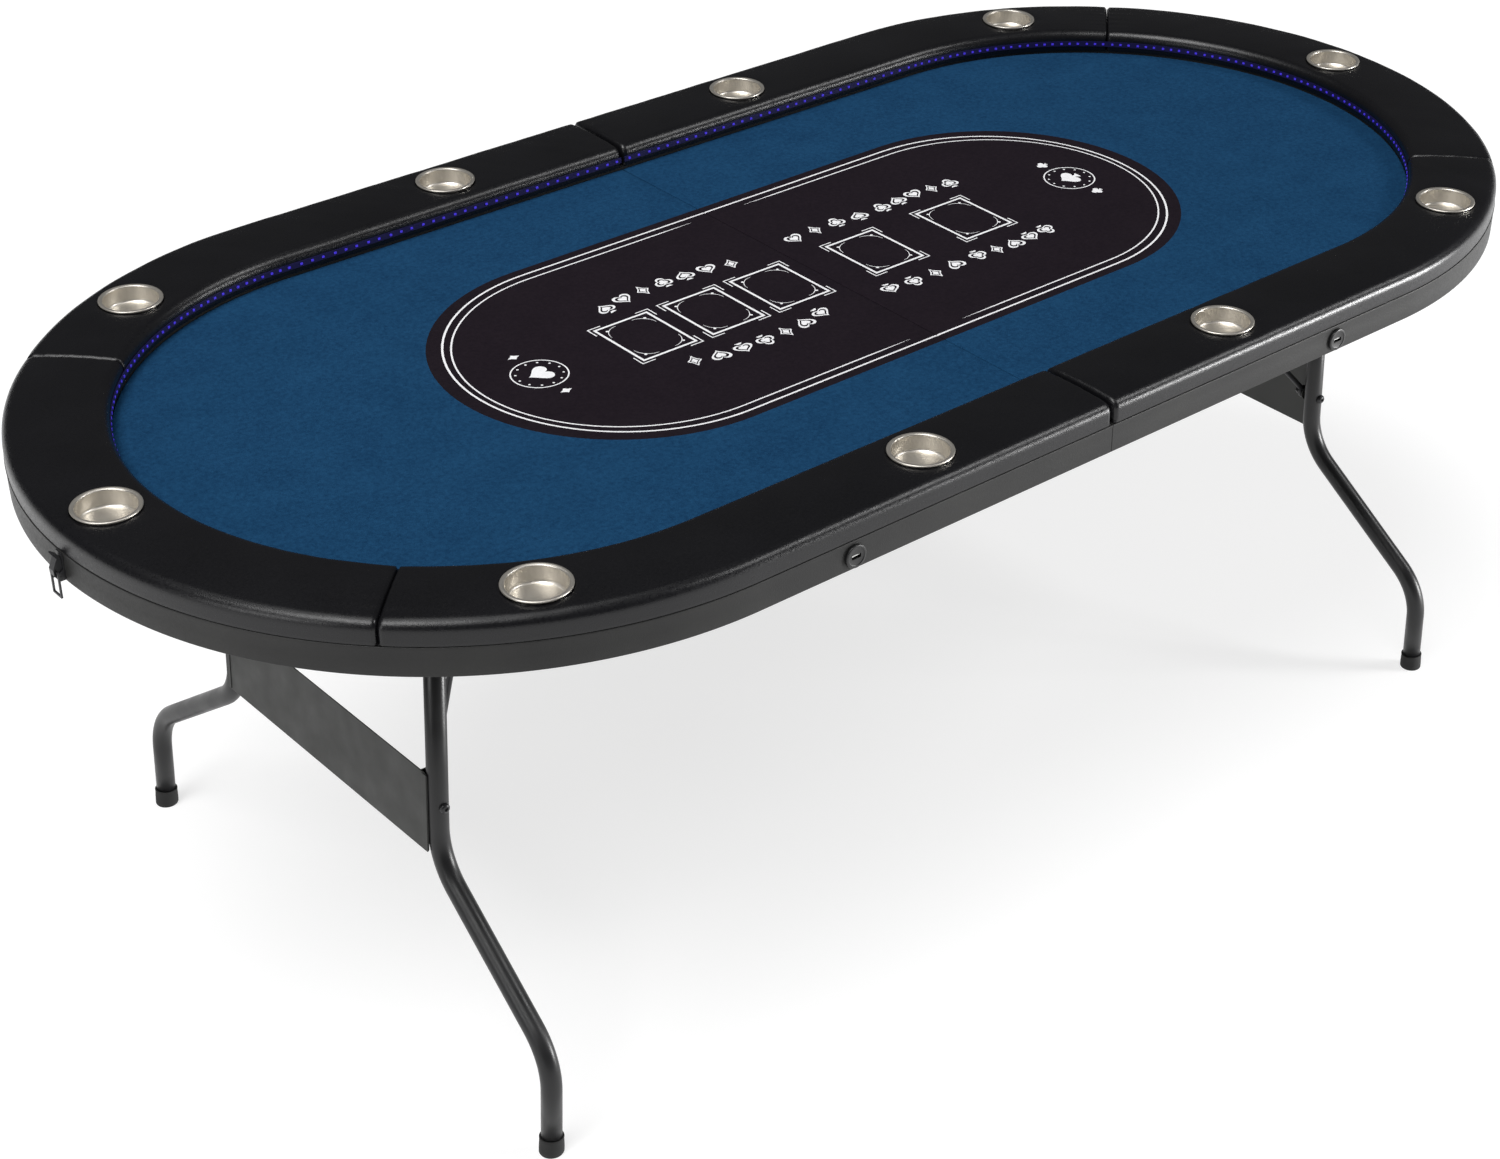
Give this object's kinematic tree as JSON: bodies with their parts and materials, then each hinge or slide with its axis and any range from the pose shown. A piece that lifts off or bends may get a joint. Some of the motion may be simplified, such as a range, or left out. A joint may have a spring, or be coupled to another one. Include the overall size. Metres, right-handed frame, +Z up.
{
  "type": "folding poker table",
  "caption": "Oval folding poker table with padded rail, cup holders, light strips and two folding steel leg frames; the top folds in half.",
  "frame": {"origin": "on the floor, under the middle of the table", "axes": "+X along the table, to the right end; -Y the near side, with the charging sockets; +Z up"},
  "size_m": [2.1594, 1.0726, 0.762],
  "materials": {
    "rail_vinyl": "soft black vinyl with a fine grain, semi-gloss",
    "apron_vinyl": "charcoal vinyl, satin",
    "felt": "blue short-pile playing cloth with a dark centre print",
    "baseboard": "dark painted fibreboard",
    "cup_steel": "brushed, with a polished rim",
    "frame_enamel": "dark grey powder coat, satin",
    "panel_enamel": "dark grey powder coat, satin",
    "foot_rubber": "matt black rubber",
    "dark_hardware": "black oxide steel",
    "zinc_steel": "bright zinc plate",
    "black_plastic": "black, satin",
    "light_strip": "violet light strip"
  },
  "bodies": {
    "left_half": {"left_board": "baseboard", "left_felt": "felt", "left_apron": "apron_vinyl", "left_near_rail_pad": "rail_vinyl", "left_end_rail_pad": "rail_vinyl", "left_far_rail_pad": "rail_vinyl", "left_end_cup": "cup_steel", "left_near_corner_cup": "cup_steel", "left_near_mid_cup": "cup_steel", "left_far_corner_cup": "cup_steel", "left_far_mid_cup": "cup_steel", "left_led_strip": "light_strip", "left_charging_socket": "black_plastic", "left_pivot_plate": "zinc_steel", "left_brace_catch": "zinc_steel", "near_hinge_left_leaf": "zinc_steel", "far_hinge_left_leaf": "zinc_steel", "light_controller": "black_plastic", "power_inlet": "black_plastic", "latch_base": "zinc_steel"},
    "hinge_links": {"near_hinge_link": "zinc_steel", "far_hinge_link": "zinc_steel"},
    "right_half": {"right_board": "baseboard", "right_felt": "felt", "right_apron": "apron_vinyl", "right_near_rail_pad": "rail_vinyl", "right_end_rail_pad": "rail_vinyl", "right_far_rail_pad": "rail_vinyl", "right_end_cup": "cup_steel", "right_near_corner_cup": "cup_steel", "right_near_mid_cup": "cup_steel", "right_far_corner_cup": "cup_steel", "right_far_mid_cup": "cup_steel", "right_led_strip": "light_strip", "right_charging_socket": "black_plastic", "right_pivot_plate": "zinc_steel", "right_brace_catch": "zinc_steel", "near_hinge_right_leaf": "zinc_steel", "far_hinge_right_leaf": "zinc_steel", "latch_keeper": "zinc_steel"},
    "left_legs": {"left_leg_cross_tube": "frame_enamel", "left_leg_panel": "panel_enamel", "left_near_leg_tube": "frame_enamel", "left_near_leg_bolt": "dark_hardware", "left_near_foot_cap": "foot_rubber", "left_far_leg_tube": "frame_enamel", "left_far_leg_bolt": "dark_hardware", "left_far_foot_cap": "foot_rubber"},
    "right_legs": {"right_leg_cross_tube": "frame_enamel", "right_leg_panel": "panel_enamel", "right_near_leg_tube": "frame_enamel", "right_near_leg_bolt": "dark_hardware", "right_near_foot_cap": "foot_rubber", "right_far_leg_tube": "frame_enamel", "right_far_leg_bolt": "dark_hardware", "right_far_foot_cap": "foot_rubber"},
    "left_brace": {"left_leg_brace": "dark_hardware"},
    "right_brace": {"right_leg_brace": "dark_hardware"},
    "latch_lever": {"latch_lever": "dark_hardware"},
    "latch_bail": {"latch_bail": "zinc_steel"}
  },
  "joints": [
    {"name": "link_fold", "type": "hinge", "parent": "left_half", "child": "hinge_links", "pos_m": [-0.014, 0, 0.688], "axis": [0, 1, 0], "range_deg": [0, 90]},
    {"name": "top_fold", "type": "hinge", "parent": "hinge_links", "child": "right_half", "pos_m": [0.014, 0, 0.688], "axis": [0, 1, 0], "range_deg": [0, 90]},
    {"name": "left_legs_fold", "type": "hinge", "parent": "left_half", "child": "left_legs", "pos_m": [-0.746, 0, 0.692], "axis": [0, -1, 0], "range_deg": [0, 93.1]},
    {"name": "right_legs_fold", "type": "hinge", "parent": "right_half", "child": "right_legs", "pos_m": [0.746, 0, 0.692], "axis": [0, 1, 0], "range_deg": [0, 93.1]},
    {"name": "left_brace_swing", "type": "hinge", "parent": "left_legs", "child": "left_brace", "pos_m": [-0.76338, 0, 0.371], "axis": [0, 1, 0], "range_deg": [0, 146.8]},
    {"name": "right_brace_swing", "type": "hinge", "parent": "right_legs", "child": "right_brace", "pos_m": [0.76338, 0, 0.371], "axis": [0, -1, 0], "range_deg": [0, 146.8]},
    {"name": "lever_swing", "type": "hinge", "parent": "left_half", "child": "latch_lever", "pos_m": [-1.073, 0, 0.6985], "axis": [0, -1, 0], "range_deg": [0, 110]},
    {"name": "bail_swing", "type": "hinge", "parent": "latch_lever", "child": "latch_bail", "pos_m": [-1.0765, 0, 0.706], "axis": [0, 1, 0], "range_deg": [0, 135.1]}
  ],
  "couplings": [
    {"joint": "left_brace_swing", "follows": "left_legs_fold", "ratio": 1.5757},
    {"joint": "right_brace_swing", "follows": "right_legs_fold", "ratio": 1.5757},
    {"joint": "bail_swing", "follows": "lever_swing", "ratio": 1.2273}
  ]
}
